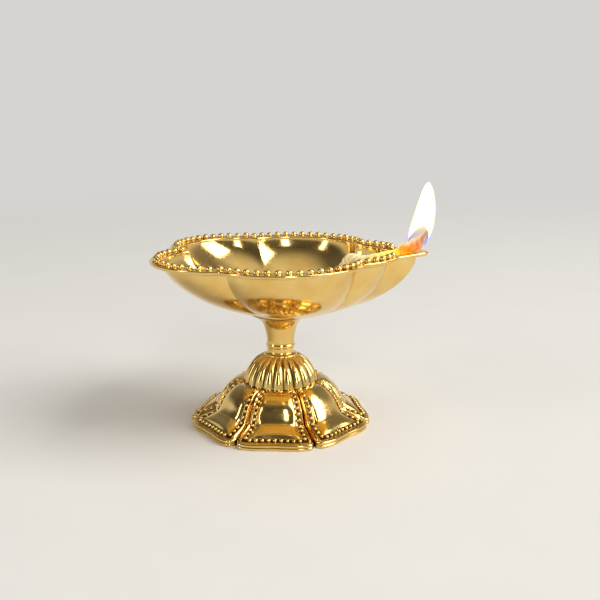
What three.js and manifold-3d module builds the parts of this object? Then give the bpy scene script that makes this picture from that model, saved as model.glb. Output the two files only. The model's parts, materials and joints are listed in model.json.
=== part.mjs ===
// Brass oil lamp: a lobed, beaded bowl with a wick spout, on a turned stem that screws into a petalled foot.
// Millimetres, +Z up. The stem's axis is the axis of the turned pieces, and the spout points along +X.
import * as THREE from 'three';
import { mergeVertices } from 'three/addons/utils/BufferGeometryUtils.js';
import Module from 'manifold-3d';

const wasm = await Module();
wasm.setup();

// Heights of the three stacked pieces, the bowl's being its depth below the rim
const footHeight = 24.2;
const stemHeight = 10.7;
const bowlDepth = 19.3;

// Gap between neighbouring pieces that don't meet face to face
const clearance = 0.3;

// Bowl in plan: distance from the stem's axis to the line of beads, at each notch and at each lobe's middle
const spoutRootAngle = 14.1;
const smallNotchAngle = 36.8;
const sideNotchAngle = 110.8;
const backNotchAngle = 180;
const spoutRootReach = 35.5;
const smallNotchReach = 31.4;
const sideNotchReach = 34.1;
const backNotchReach = 31.0;
const smallLobeReach = 34.1;
const sideLobeReach = 36.7;
const backLobeReach = 39.3;
const lobeRoundness = 0.754;
const spoutReach = 43.4;
const spoutTipRadius = 3.0;
const spoutTipAngle = 65;
const spoutLift = 0.8;

// Bowl in section
const bowlWall = 1.1;
const bowlMeanRadius = 35.8;
const wallInset = 1.5;
const deepestPointShift = 3.5;
const wallFullness = 2.286;
const wallSteepness = 0.655;
const spoutSteepness = 0.546;
const flangeThickness = 1.1;
const flangeOverhang = 2.1;
const flangeEdgeRound = 0.5;

// Beads on the flange: radius, pitch, and how deep each is sunk into the flange
const beadRadius = 0.64;
const beadPitch = 2.95;
const beadSunk = 0.2;

// Stem
const stemFootRadius = 4.6;
const stemWaistRadius = 4.35;
const stemTopRadius = 9.2;
const seatThickness = 0.9;
const seatDrop = 0.1;

// Threaded stud between stem and foot: mean thread radius, and how far it enters each piece
const studRadius = 2.7;
const studInFoot = 5.0;
const studInStem = 6.0;
const studChamfer = 0.5;

// Foot
const petalCount = 7;
const petalBearing = -87.5;
const ribsPerPetal = 3;
const neckRadius = 4.2;
const neckHeight = 2.45;
const domeTopRadius = 5.1;
const domeTuck = 0.4;
const domeEdgeRadius = 11.6;
const domeEdgeHeight = 13.2;
const ribDepth = 0.36;
const ribTongue = 0.3;
const lipRadius = 27.4;
const lipHeight = 1.9;
const lipCornerRise = 1.3;
const lipNotchDepth = 3.4;
const lipWidth = 3.2;
const pillowRise = 0.75;
const ridgeRise = 0.45;
const grooveDepth = 0.65;
const footWall = 1.6;
const hubRadius = 4.7;
const hubLength = 8.0;

// Oil, wick and flame
const oilBelowRim = 12.0;
const wickRadius = 1.55;
const wickLipRadius = 1.2;
const wickTipRadius = 0.45;
const wickEndRise = 5.1;
const flameBaseAhead = 1.1;
const flameBaseRise = 2.6;
const flameHeight = 18.7;
const flameRadius = 3.7;
const flameLean = 2.5;

// How far a cutting tool runs past the piece that it cuts
const cutPast = 1.0;

// How finely the surfaces are cut
const stationsPerLobe = 10;
const stationsOnSmallLobe = 6;
const stationsOnSpout = 6;
const stationsPerPetal = 15;
const beadSides = 6;
const beadRows = 3;
const roundSegments = 36;
const wickSides = 10;
const wickSteps = 28;
const flameSides = 16;

// Heights above the table
const seamHeight = footHeight;
const seatHeight = seamHeight + stemHeight;
const bowlUnderside = seatHeight + seatDrop;
const rimHeight = bowlUnderside + bowlDepth;
const domeTopHeight = seamHeight - neckHeight;
const hubBottomHeight = seamHeight - hubLength;
const oilLevel = rimHeight - oilBelowRim;

const degrees = THREE.MathUtils.degToRad;
const lerp = THREE.MathUtils.lerp;
const clamp = THREE.MathUtils.clamp;

// Helpers

// Signed volume of an indexed triangle mesh: positive when its faces point outward.
function signedVolume(positions, indices) {
  const corner = (k) => new THREE.Vector3().fromArray(positions, indices[k] * 3);
  let six = 0;
  for (let k = 0; k < indices.length; k += 3) {
    six += corner(k).dot(corner(k + 1).cross(corner(k + 2)));
  }
  return six / 6;
}

// Closed skin through a row of rings. Every ring has the same number of points, except that a pole has one.
// With wrap the last ring joins the first, and otherwise both ends are poles.
function skin(rings, wrap = false) {
  const positions = [];
  const starts = [];
  for (const ring of rings) {
    starts.push(positions.length / 3);
    for (const point of ring) {
      positions.push(point.x, point.y, point.z);
    }
  }
  const indices = [];
  const last = wrap ? rings.length : rings.length - 1;
  for (let r = 0; r < last; r += 1) {
    const next = (r + 1) % rings.length;
    const count = Math.max(rings[r].length, rings[next].length);
    const lower = (k) => starts[r] + (rings[r].length === 1 ? 0 : k % count);
    const upper = (k) => starts[next] + (rings[next].length === 1 ? 0 : k % count);
    for (let k = 0; k < count; k += 1) {
      if (rings[r].length > 1) {
        indices.push(lower(k), lower(k + 1), upper(k));
      }
      if (rings[next].length > 1) {
        indices.push(lower(k + 1), upper(k + 1), upper(k));
      }
    }
  }
  if (signedVolume(positions, indices) < 0) {
    indices.reverse();
  }
  const geometry = new THREE.BufferGeometry();
  geometry.setAttribute('position', new THREE.Float32BufferAttribute(positions, 3));
  geometry.setIndex(indices);
  return geometry;
}

// A profile of [radius, height] pairs turned about the stem's axis.
function turned(profile, segments = roundSegments) {
  const ring = ([radius, height]) => {
    if (radius === 0) {
      return [new THREE.Vector3(0, 0, height)];
    }
    return Array.from({ length: segments }, (_, k) => {
      const angle = (k / segments) * 2 * Math.PI;
      return new THREE.Vector3(radius * Math.cos(angle), radius * Math.sin(angle), height);
    });
  };
  const wrap = profile[0][0] !== 0;
  return skin(profile.map(ring), wrap);
}

function toSolid(geometry) {
  const bare = geometry.clone();
  bare.deleteAttribute('normal');
  bare.deleteAttribute('uv');
  const merged = mergeVertices(bare, 1e-5);
  return new wasm.Manifold(new wasm.Mesh({
    numProp: 3,
    vertProperties: new Float32Array(merged.attributes.position.array),
    triVerts: new Uint32Array(merged.index.array),
  }));
}

function fromSolid(solid) {
  const mesh = solid.getMesh();
  const geometry = new THREE.BufferGeometry();
  geometry.setAttribute('position', new THREE.Float32BufferAttribute(mesh.vertProperties, 3));
  geometry.setIndex(Array.from(mesh.triVerts));
  return geometry;
}

// Bowl

// The bowl's lobes on one side, from the spout to the back.
const lobes = [
  { from: spoutRootAngle, to: smallNotchAngle, start: spoutRootReach, end: smallNotchReach,
    crest: smallLobeReach, stations: stationsOnSmallLobe },
  { from: smallNotchAngle, to: sideNotchAngle, start: smallNotchReach, end: sideNotchReach,
    crest: sideLobeReach, stations: stationsPerLobe },
  { from: sideNotchAngle, to: backNotchAngle, start: sideNotchReach, end: backNotchReach,
    crest: backLobeReach, stations: stationsPerLobe },
];

// Bead line of a lobe: a straight run between its notches, with a bulge that is steep at both of them.
function lobeReach(lobe, share) {
  const chord = lerp(lobe.start, lobe.end, share);
  const bulge = lobe.crest - (lobe.start + lobe.end) / 2;
  return chord + bulge * Math.sin(Math.PI * share) ** lobeRoundness;
}

// The spout's side runs straight from its root to a round tip. Share 0 is the tip's middle, 1 is the root.
function spoutStation(share) {
  const tipPoint = (turn) => new THREE.Vector2(
    spoutReach - spoutTipRadius + spoutTipRadius * Math.cos(turn),
    spoutTipRadius * Math.sin(turn),
  );
  const rootAngle = degrees(spoutRootAngle);
  const root = new THREE.Vector2(Math.cos(rootAngle), Math.sin(rootAngle)).multiplyScalar(spoutRootReach);
  const arcShare = 0.45;
  const arcEnd = degrees(spoutTipAngle);
  const along = Math.max(0, (share - arcShare) / (1 - arcShare));
  const point = tipPoint(Math.min(1, share / arcShare) * arcEnd).lerp(root, along);
  return { angle: point.angle(), reach: point.length() };
}

// Stations of the bead line all round the bowl: each has an angle and a reach.
function bowlStations() {
  const half = [];
  for (let k = 0; k < stationsOnSpout; k += 1) {
    half.push(spoutStation(k / stationsOnSpout));
  }
  for (const lobe of lobes) {
    for (let k = 0; k < lobe.stations; k += 1) {
      const share = k / lobe.stations;
      half.push({ angle: degrees(lerp(lobe.from, lobe.to, share)), reach: lobeReach(lobe, share) });
    }
  }
  const back = { angle: Math.PI, reach: backNotchReach };
  const mirrored = half.slice(1).reverse().map(({ angle, reach }) => ({ angle: -angle, reach }));
  return [...half, back, ...mirrored];
}

// The rim rises a little toward the spout's tip.
function withLift(x, y, z) {
  return new THREE.Vector3(x, y, z + spoutLift * (Math.max(x, 0) / spoutReach) ** 2);
}

// A point of a wall of the bowl: share 0 is the deepest point and 1 the rim.
function wallPoint(station, share, { inset, top, bottom }) {
  const radius = share * lerp(bowlMeanRadius - inset, station.reach - inset, share);
  const shift = deepestPointShift * (1 - share ** 2);
  const facing = clamp(Math.cos(station.angle), 0, 1) ** 4;
  const steepness = lerp(wallSteepness, spoutSteepness, facing);
  const depth = (top - bottom) * (1 - share ** wallFullness) ** steepness;
  return withLift(radius * Math.cos(station.angle) + shift, radius * Math.sin(station.angle), top - depth);
}

const outerWall = { inset: wallInset, top: rimHeight - flangeThickness, bottom: bowlUnderside };
const innerWall = {
  inset: wallInset + bowlWall,
  top: rimHeight - flangeEdgeRound,
  bottom: bowlUnderside + bowlWall,
};
const wallShares = [0.16, 0.32, 0.47, 0.61, 0.74, 0.85, 0.93, 0.98];

function flangeRing(stations, beyond, height) {
  return stations.map(({ angle, reach }) => {
    const radius = reach + beyond;
    return withLift(radius * Math.cos(angle), radius * Math.sin(angle), height);
  });
}

function bowlShell() {
  const stations = bowlStations();
  const ringOf = (wall) => (share) => stations.map((station) => wallPoint(station, share, wall));
  const pole = (wall) => [wallPoint(stations[0], 0, wall)];
  const edge = flangeEdgeRound;
  return skin([
    pole(outerWall),
    ...wallShares.map(ringOf(outerWall)),
    flangeRing(stations, -wallInset, rimHeight - flangeThickness),
    flangeRing(stations, flangeOverhang - edge, rimHeight - flangeThickness),
    flangeRing(stations, flangeOverhang, rimHeight - flangeThickness + edge),
    flangeRing(stations, flangeOverhang - edge / 2, rimHeight),
    flangeRing(stations, -wallInset - bowlWall + edge, rimHeight),
    flangeRing(stations, -wallInset - bowlWall, rimHeight - edge),
    ...[...wallShares].reverse().map(ringOf(innerWall)),
    pole(innerWall),
  ]);
}

// Round pad under the bowl that the stem's top face sits against.
function bowlSeat() {
  const top = seatHeight + seatThickness;
  return turned([[0, seatHeight], [stemTopRadius, seatHeight], [stemTopRadius, top], [0, top]]);
}

// Beads cast on the flange, at an even pitch along the bead line from one root of the spout to the other.
function rimBeads() {
  const onLine = ({ angle, reach }) => withLift(reach * Math.cos(angle), reach * Math.sin(angle), rimHeight);
  const points = bowlStations().slice(stationsOnSpout, -stationsOnSpout + 1).map(onLine);
  const line = new THREE.CurvePath();
  for (let k = 1; k < points.length; k += 1) {
    line.add(new THREE.LineCurve3(points[k - 1], points[k]));
  }
  const count = Math.round(line.getLength() / beadPitch);
  return line.getSpacedPoints(count).map(({ x, y, z }) => {
    const bead = new THREE.SphereGeometry(beadRadius, beadSides, beadRows);
    return bead.rotateX(Math.PI / 2).translate(x, y, z + beadRadius - beadSunk);
  });
}

function makeBowl() {
  const plain = toSolid(bowlShell()).add(toSolid(bowlSeat()));
  return fromSolid(rimBeads().reduce((solid, bead) => solid.add(toSolid(bead)), plain));
}

// Stem: a turned trumpet, drilled from below for the stud
const studHoleRadius = studRadius + clearance;
function makeStem() {
  const up = (share) => lerp(seamHeight, seatHeight, share);
  const flare = (share) => lerp(stemWaistRadius, stemTopRadius, share);
  const holeTop = seamHeight + studInStem + clearance;
  return turned([
    [0, holeTop],
    [studHoleRadius, holeTop],
    [studHoleRadius, seamHeight],
    [stemFootRadius, seamHeight],
    [stemFootRadius, up(0.03)],
    [stemWaistRadius, up(0.1)],
    [flare(0.03), up(0.29)],
    [flare(0.09), up(0.47)],
    [flare(0.2), up(0.65)],
    [flare(0.36), up(0.77)],
    [flare(0.55), up(0.86)],
    [flare(0.8), up(0.95)],
    [stemTopRadius, up(1)],
    [0, up(1)],
  ]);
}

// Threaded stud, plain at its mean thread radius, with both ends chamfered
function makeStud() {
  const bottom = seamHeight - studInFoot;
  const top = seamHeight + studInStem;
  return turned([
    [0, bottom],
    [studRadius - studChamfer, bottom],
    [studRadius, bottom + studChamfer],
    [studRadius, top - studChamfer],
    [studRadius - studChamfer, top],
    [0, top],
  ]);
}

// Foot

// Dome section from the neck down to its edge: shares of the way outward and of the way down.
const domeShares = [
  [0.14, 0.07], [0.3, 0.157], [0.45, 0.25], [0.6, 0.375], [0.745, 0.535], [0.87, 0.715], [0.945, 0.87],
];
// Petal section from under the dome's edge out to the lip, in the same way. Each point also says how much
// of the pillow, of the side ridges and of the lip's scalloped outline it carries.
const petalShares = [
  { out: 0.05, down: 0.005, pillow: 0, ridge: 0.2, outline: 0 },
  { out: 0.19, down: 0.06, pillow: 0.6, ridge: 0.8, outline: 0.1 },
  { out: 0.325, down: 0.205, pillow: 1, ridge: 1, outline: 0.2 },
  { out: 0.41, down: 0.34, pillow: 1, ridge: 1, outline: 0.3 },
  { out: 0.465, down: 0.485, pillow: 1.15, ridge: 1, outline: 0.4 },
  { out: 0.52, down: 0.635, pillow: 1.8, ridge: 1, outline: 0.5 },
  { out: 0.605, down: 0.705, pillow: 1.8, ridge: 1, outline: 0.65 },
  { out: 0.745, down: 0.767, pillow: 1.05, ridge: 0.9, outline: 0.85 },
  { out: 0.86, down: 0.82, pillow: 0, ridge: 0.6, outline: 1 },
];
const pillowShare = 0.625;
const ridgeShare = 0.875;
const cornerShare = 0.8;
// How strongly the petals' stations crowd toward the grooves
const crowding = 1.35;

const domePoint = ([out, down]) => [
  lerp(domeTopRadius, domeEdgeRadius, out),
  lerp(domeTopHeight, domeEdgeHeight, down),
];
const petalPoint = ({ out, down }) => [
  lerp(domeEdgeRadius, lipRadius, out),
  lerp(domeEdgeHeight, 0, down),
];

// Outward normal of a section at each of its points, from the points beside it.
function sectionNormals(points) {
  return points.map((_, k) => {
    const before = points[Math.max(k - 1, 0)];
    const after = points[Math.min(k + 1, points.length - 1)];
    return new THREE.Vector2(before[1] - after[1], after[0] - before[0]).normalize();
  });
}

// A ring of the foot. The shape function gets how far a station is across its petal, 0 in its middle and 1
// in the groove, and its place on the ribs' wave, and gives back [radius, height].
function footRing(shape, power = 1) {
  const halfPetal = Math.PI / petalCount;
  const count = petalCount * stationsPerPetal;
  return Array.from({ length: count }, (_, k) => {
    const petal = Math.floor(k / stationsPerPetal);
    const even = (2 * (k % stationsPerPetal)) / stationsPerPetal - 1;
    const across = 1 - (1 - Math.abs(even)) ** power;
    const ribPhase = Math.cos(Math.PI * ribsPerPetal * even);
    const [radius, height] = shape(across, ribPhase);
    const angle = degrees(petalBearing) + halfPetal * (2 * petal + Math.sign(even) * across);
    return new THREE.Vector3(radius * Math.cos(angle), radius * Math.sin(angle), height);
  });
}
const petalRing = (shape) => footRing(shape, crowding);

// How far a petal's lip stands out past its middle: an ogee up to the round corners, cut in at the groove.
function lipOutline(across) {
  const toCorner = Math.min(1, across / cornerShare);
  const notch = Math.max(0, (across - cornerShare) / (1 - cornerShare));
  return lipCornerRise * Math.sin((Math.PI / 2) * toCorner) ** 2 - lipNotchDepth * notch ** 2;
}

// Relief of a petal: a pillow in its middle, a plain band for the beads, a ridge at each side and a groove
// between the ridges of two petals.
function petalRelief(across, { pillow, ridge }) {
  const crown = Math.max(0, 1 - (across / pillowShare) ** 4);
  const side = 1 - ridgeShare;
  const crest = Math.max(0, 1 - Math.abs(across - ridgeShare) / side);
  const valley = Math.max(0, (across - ridgeShare) / side);
  return pillow * pillowRise * crown + ridge * (ridgeRise * crest - grooveDepth * valley);
}

function footSkin() {
  const round = (radius, height) => footRing(() => [radius, height]);
  const dome = domeShares.map(domePoint);
  const domeTop = [domeTopRadius, domeTopHeight];
  const domeNormals = sectionNormals([domeTop, ...dome, [domeEdgeRadius, domeEdgeHeight]]);
  const ribRings = dome.map((point, k) => footRing((across, ribPhase) => {
    const rise = ribDepth * ribPhase * Math.min(1, (k + 1) / 3);
    const normal = domeNormals[k + 1];
    return [point[0] + rise * normal.x, point[1] + rise * normal.y];
  }));
  const petals = petalShares.map(petalPoint);
  const petalNormals = sectionNormals([...petals, [lipRadius, lipHeight / 2]]);
  const petalRings = petals.map((point, k) => petalRing((across) => {
    const rise = petalRelief(across, petalShares[k]);
    const outline = petalShares[k].outline * lipOutline(across);
    const normal = petalNormals[k];
    return [point[0] + rise * normal.x + outline, point[1] + rise * normal.y];
  }));
  const lipRing = (inset, height) => petalRing((across) => [lipRadius - inset + lipOutline(across), height]);
  return skin([
    [new THREE.Vector3(0, 0, seamHeight)],
    round(neckRadius, seamHeight),
    round(neckRadius, lerp(seamHeight, domeTopHeight, 0.6)),
    round(domeTopRadius, domeTopHeight),
    ...ribRings,
    footRing((across, ribPhase) => [
      domeEdgeRadius + ribDepth * ribPhase,
      domeEdgeHeight - ribTongue * ribPhase,
    ]),
    round(domeEdgeRadius - domeTuck, domeEdgeHeight - domeTuck),
    ...petalRings,
    lipRing(lipHeight / 3, lipHeight),
    lipRing(0, lipHeight / 2),
    lipRing(0, 0),
    [new THREE.Vector3(0, 0, 0)],
  ]);
}

// Hollow under the foot: the section moved inward by the wall, with a hub left standing round the stud.
function footHollow() {
  const offset = (points) => {
    const normals = sectionNormals(points);
    return points.map(([radius, height], k) => [
      radius - footWall * normals[k].x,
      height - footWall * normals[k].y,
    ]);
  };
  const dome = offset([[domeTopRadius, domeTopHeight], ...domeShares.map(domePoint)]).slice(0, -1);
  const petals = offset(petalShares.map(petalPoint)).filter((_, k) => k % 2 === 1);
  const mouth = lipRadius - lipWidth;
  const underEdge = [domeEdgeRadius - domeTuck - footWall / 2, domeEdgeHeight - domeTuck - footWall];
  return turned([
    [0, -clearance],
    [mouth, -clearance],
    [mouth, clearance],
    ...petals.reverse(),
    underEdge,
    ...dome.reverse().filter(([radius]) => radius > hubRadius + clearance),
    [hubRadius, domeTopHeight - footWall],
    [hubRadius, hubBottomHeight],
    [0, hubBottomHeight],
  ]);
}

function makeFoot() {
  const bore = turned([
    [0, hubBottomHeight - cutPast],
    [studHoleRadius, hubBottomHeight - cutPast],
    [studHoleRadius, seamHeight + cutPast],
    [0, seamHeight + cutPast],
  ]);
  return fromSolid(toSolid(footSkin()).subtract(toSolid(footHollow())).subtract(toSolid(bore)));
}

// Wick: a cotton roll that runs from the oil up the bowl's inner wall and out over the spout's lip

// The roll's route: bearing from the spout, share of the way up the wall, and rise above the wall in radii.
const wickRoute = [
  [50, 0.5, 1.8],
  [43, 0.68, 2.25],
  [40, 0.785, 2.45],
  [36.5, 0.865, 2.45],
  [29.5, 0.865, 2.45],
  [22, 0.88, 2.52],
  [14.5, 0.9, 2.9],
  [7.6, 0.915, 3.6],
  [3.2, 0.915, 4.5],
  [1, 0.945, 4.6],
];
// Its end past the lip: how far ahead of the lip's edge and how far above it, in shares of the end's rise.
const wickEnd = [[-0.69, 0], [-0.33, 0.04], [-0.1, 0.25], [0.08, 0.65], [0.39, 1]];
// Its girth along its length: blunt at the tail, full in the bowl, thin where it has charred.
const wickGirth = [
  [0, 0.7 * wickRadius],
  [0.075, wickRadius],
  [0.48, wickRadius],
  [0.8, wickLipRadius],
  [0.93, wickTipRadius],
  [1, wickTipRadius],
];

// Reach of the bead line at any bearing, between the stations beside it.
function reachAt(angle) {
  const stations = bowlStations().filter((station) => station.angle >= 0);
  const next = stations.findIndex((station) => station.angle > angle);
  const [a, b] = [stations[next - 1], stations[next]];
  return lerp(a.reach, b.reach, (angle - a.angle) / (b.angle - a.angle));
}

const lipTop = withLift(spoutReach, 0, rimHeight);

function wickCurve() {
  const points = wickRoute.map(([bearing, share, rise]) => {
    const angle = degrees(bearing);
    const onWall = wallPoint({ angle, reach: reachAt(angle) }, share, innerWall);
    return onWall.add(new THREE.Vector3(0, 0, rise * wickRadius));
  });
  const overLip = lipTop.z + clearance + wickLipRadius;
  for (const [ahead, rise] of wickEnd) {
    points.push(new THREE.Vector3(lipTop.x + ahead * wickEndRise, 0, overLip + rise * wickEndRise));
  }
  return new THREE.CatmullRomCurve3(points);
}

function wickRadiusAt(share) {
  const next = Math.max(1, wickGirth.findIndex(([at]) => at >= share));
  const [[before, thick], [after, thin]] = [wickGirth[next - 1], wickGirth[next]];
  return lerp(thick, thin, (share - before) / (after - before));
}

// Skin round the wick's curve, grown by a margin where its neighbours are cut clear of it.
function wickSkin(margin = 0) {
  const curve = wickCurve();
  const up = new THREE.Vector3(0, 0, 1);
  const ringAt = (share, scale = 1) => {
    const centre = curve.getPointAt(share);
    const along = curve.getTangentAt(share);
    const side = new THREE.Vector3().crossVectors(along, up).normalize();
    const over = new THREE.Vector3().crossVectors(side, along);
    const radius = (wickRadiusAt(share) + margin) * scale;
    return Array.from({ length: wickSides }, (_, k) => {
      const angle = (k / wickSides) * 2 * Math.PI;
      return centre.clone()
        .addScaledVector(side, radius * Math.cos(angle))
        .addScaledVector(over, radius * Math.sin(angle));
    });
  };
  const end = (share, sign) => {
    const tip = curve.getPointAt(share).addScaledVector(curve.getTangentAt(share), sign * margin);
    return [tip];
  };
  const rings = Array.from({ length: wickSteps + 1 }, (_, k) => ringAt(k / wickSteps));
  return skin([end(0, -1), ...rings, end(1, 1)]);
}

// Oil: what fills the bowl up to its level, clear of the wall and of the wick. The wick's channel is open
// above, so that the wick can be lifted straight out.
function makeOil() {
  const cavity = {
    inset: innerWall.inset + clearance,
    top: innerWall.top,
    bottom: innerWall.bottom + clearance,
  };
  const stations = bowlStations().filter((_, k) => k % 2 === 0);
  const rings = wallShares.filter((_, k) => k % 2 === 0)
    .map((share) => stations.map((station) => wallPoint(station, share, cavity)));
  const filled = skin([[wallPoint(stations[0], 0, cavity)], ...rings, [new THREE.Vector3(0, 0, cavity.top)]]);
  const below = turned([[0, 0], [spoutReach, 0], [spoutReach, oilLevel], [0, oilLevel]], 8);
  const aroundWick = toSolid(wickSkin(clearance));
  const aboveWick = toSolid(wickSkin(clearance).translate(0, 0, wickRadius));
  return fromSolid(toSolid(filled).intersect(toSolid(below)).subtract(aroundWick).subtract(aboveWick));
}

// Flame: the burning gas round the wick's tip, leaning outward, with the wick's space left open below
function makeFlame() {
  const base = new THREE.Vector3(lipTop.x - flameBaseAhead, 0, lipTop.z + flameBaseRise);
  const section = [
    [0, 0.9], [0.1, 0.98], [0.2, 1], [0.32, 0.94], [0.45, 0.86], [0.58, 0.78],
    [0.7, 0.66], [0.8, 0.53], [0.89, 0.36], [0.96, 0.18],
  ];
  const centreAt = (share) => new THREE.Vector3(
    base.x + flameLean * (1 - (1 - share) ** 2),
    0,
    base.z + share * flameHeight,
  );
  const rings = section.map(([share, width]) => Array.from({ length: flameSides }, (_, k) => {
    const angle = (k / flameSides) * 2 * Math.PI;
    const radius = width * flameRadius;
    return centreAt(share).add(new THREE.Vector3(radius * Math.cos(angle), radius * Math.sin(angle), 0));
  }));
  const outside = skin([[centreAt(0)], ...rings, [centreAt(1)]]);
  return fromSolid(toSolid(outside).subtract(toSolid(wickSkin(clearance))));
}

// Materials
const polishedBrass = new THREE.MeshStandardMaterial({ color: 0xc8963c, roughness: 0.18, metalness: 1 });
const screwBrass = new THREE.MeshStandardMaterial({ color: 0xb58a3e, roughness: 0.35, metalness: 1 });
const lampOil = new THREE.MeshStandardMaterial({
  color: 0xd9a63a,
  roughness: 0.05,
  transparent: true,
  opacity: 0.5,
});
const cotton = new THREE.MeshStandardMaterial({ color: 0xe8d9b0, roughness: 0.95 });
const fire = new THREE.MeshStandardMaterial({ color: 0xffc860, emissive: 0xffb040, roughness: 1 });

// The lamp, with the origin on the table under the middle of its box
const lamp = new THREE.Group();
const pieces = [
  ['foot', makeFoot(), polishedBrass],
  ['threaded_stud', makeStud(), screwBrass],
  ['stem', makeStem(), polishedBrass],
  ['bowl', makeBowl(), polishedBrass],
  ['oil', makeOil(), lampOil],
  ['wick', wickSkin(), cotton],
  ['flame', makeFlame(), fire],
];
for (const [name, geometry, material] of pieces) {
  const mesh = new THREE.Mesh(geometry, material);
  mesh.name = name;
  lamp.add(mesh);
}
const box = new THREE.Box3().setFromObject(lamp);
lamp.position.x = -(box.min.x + box.max.x) / 2;

export default lamp;
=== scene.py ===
"""Looks of a footed brass oil lamp, made as numpy surfaces round the lamp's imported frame. Metres, +Z up.

Sizes below are millimetres measured from the foot of the stem's axis, with +X towards the spout.
"""
import json

import bpy
import numpy as np
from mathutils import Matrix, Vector


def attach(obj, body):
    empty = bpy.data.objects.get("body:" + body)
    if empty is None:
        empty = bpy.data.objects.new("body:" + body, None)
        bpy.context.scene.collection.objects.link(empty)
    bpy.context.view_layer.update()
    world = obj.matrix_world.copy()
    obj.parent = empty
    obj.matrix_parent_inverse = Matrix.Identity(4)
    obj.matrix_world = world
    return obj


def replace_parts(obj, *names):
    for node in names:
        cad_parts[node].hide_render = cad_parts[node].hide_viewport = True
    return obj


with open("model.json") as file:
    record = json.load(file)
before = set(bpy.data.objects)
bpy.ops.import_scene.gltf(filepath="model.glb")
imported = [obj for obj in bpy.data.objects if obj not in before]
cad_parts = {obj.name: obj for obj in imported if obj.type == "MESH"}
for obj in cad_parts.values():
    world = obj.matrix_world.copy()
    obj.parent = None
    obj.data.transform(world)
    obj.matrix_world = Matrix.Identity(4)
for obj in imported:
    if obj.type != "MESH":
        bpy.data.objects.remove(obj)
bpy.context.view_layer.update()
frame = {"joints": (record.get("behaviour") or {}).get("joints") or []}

MM = 0.001
joint_by_name = {joint["name"]: joint for joint in frame["joints"]}
AXIS_X = joint_by_name["bowl_turn"]["pos_m"][0]
SEAM = joint_by_name["bowl_turn"]["pos_m"][2] / MM

# Camera fitted to the photograph: its place, the way it looks, and its lens
CAMERA_PLACE = (28.17, -243.53, 95.08)
CAMERA_FORWARD = (-0.0875, 0.9709, -0.2229)
CAMERA_LENS = 48.0
CAMERA_SENSOR = 36.0

# Bowl in plan: bearings of the notches, and reaches of the bead line at the notches and at the lobes' crests
RIM = 54.3
SPOUT_ROOT, SMALL_NOTCH, SIDE_NOTCH, BACK_NOTCH = 14.1, 36.8, 110.8, 180.0
SPOUT_ROOT_REACH, SMALL_NOTCH_REACH, SIDE_NOTCH_REACH, BACK_NOTCH_REACH = 35.5, 31.4, 34.1, 31.0
SMALL_CREST, SIDE_CREST, BACK_CREST = 34.1, 36.7, 39.3
LOBE_ROUNDNESS = 0.754
NOTCH_SOFTNESS = 0.035
SPOUT_REACH = 43.4
SPOUT_TIP_RADIUS = 3.0
SPOUT_TIP_ANGLE = 65.0
SPOUT_LIFT = 0.8

# Bowl in section
BOWL_DEPTH = 19.3
BOWL_WALL = 1.1
BOWL_MEAN_RADIUS = 35.8
WALL_INSET = 1.5
DEEPEST_SHIFT = 3.5
WALL_FULLNESS = 2.286
WALL_STEEPNESS = 0.655
SPOUT_STEEPNESS = 0.546
FLANGE_THICKNESS = 1.1
EDGE_ROUND = 0.5
SEAT_RADIUS = 9.2
SEAT_THICKNESS = 0.9
SEAT_DROP = 0.1

# Beads of the rim and of the foot
RIM_BEAD, RIM_BEAD_PITCH, RIM_BEAD_SUNK = 1.05, 2.95, 0.75
FOOT_BEAD, FOOT_BEAD_PITCH = 0.6, 1.85

# Stud and its hole
STUD_CREST, STUD_ROOT, STUD_PITCH = 2.95, 2.45, 1.0
STUD_IN_FOOT, STUD_IN_STEM = 5.0, 6.0
HOLE_RADIUS = 3.0

# Foot
PETALS = 7
PETAL_BEARING = -87.5
RIBS_PER_PETAL = 3
LIP_RADIUS = 27.4
LIP_WIDTH = 3.2
BEAD_ROW_RADIUS = 25.3
HUB_RADIUS = 4.7
HUB_BOTTOM = 16.2

# Oil, wick and flame
OIL_LEVEL = RIM - 12.0
OIL_GAP = 0.06
MENISCUS_RISE, MENISCUS_REACH = 0.35, 0.016
WICK_RADIUS = 1.5
FLAME_BASE = (41.5, 56.5)
FLAME_HEIGHT = 19.9
FLAME_RADIUS = 3.6
FLAME_LEAN = 3.3


def place(points):
    """Millimetres from the foot of the stem's axis, as metres in the lamp's frame."""
    return np.asarray(points, float) * MM + np.array([AXIS_X, 0.0, 0.0])


def spline(points, per_span):
    """Catmull-Rom curve through rows of numbers, with per_span steps between two rows, ends included."""
    p = np.asarray(points, float)
    p = np.vstack([2 * p[0] - p[1], p, 2 * p[-1] - p[-2]])
    t = np.linspace(0, 1, per_span, endpoint=False)[None, :, None]
    a, b, c, d = (p[k:len(p) - 3 + k, None, :] for k in range(4))
    curve = b + t * (c - a) / 2 + t**2 * (a - 2.5 * b + 2 * c - d / 2) + t**3 * (1.5 * (b - c) + (d - a) / 2)
    return np.vstack([curve.reshape(-1, p.shape[1]), p[-2]])


def along_line(line, pitch, closed=False):
    """Places spread evenly along a line of points, about pitch apart, as fractional indices of the line."""
    steps = np.linalg.norm(np.diff(line, axis=0), axis=1)
    run = np.concatenate([[0.0], np.cumsum(steps)])
    count = max(2, int(round(run[-1] / pitch)))
    wanted = np.linspace(0, run[-1], count + 1)
    if closed:
        wanted = wanted[:-1]
    return np.interp(wanted, run, np.arange(len(line)))


def grid_faces(rows, columns, wrap_rows):
    """Quads of a grid whose columns always close, as rows of four indices."""
    r = np.arange(rows if wrap_rows else rows - 1)[:, None]
    c = np.arange(columns)[None, :]
    up, right = (r + 1) % rows, (c + 1) % columns
    quads = [r * columns + c, r * columns + right, up * columns + right, up * columns + c]
    return np.stack([np.broadcast_to(q, (r.size, columns)) for q in quads], -1).reshape(-1, 4)


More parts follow.
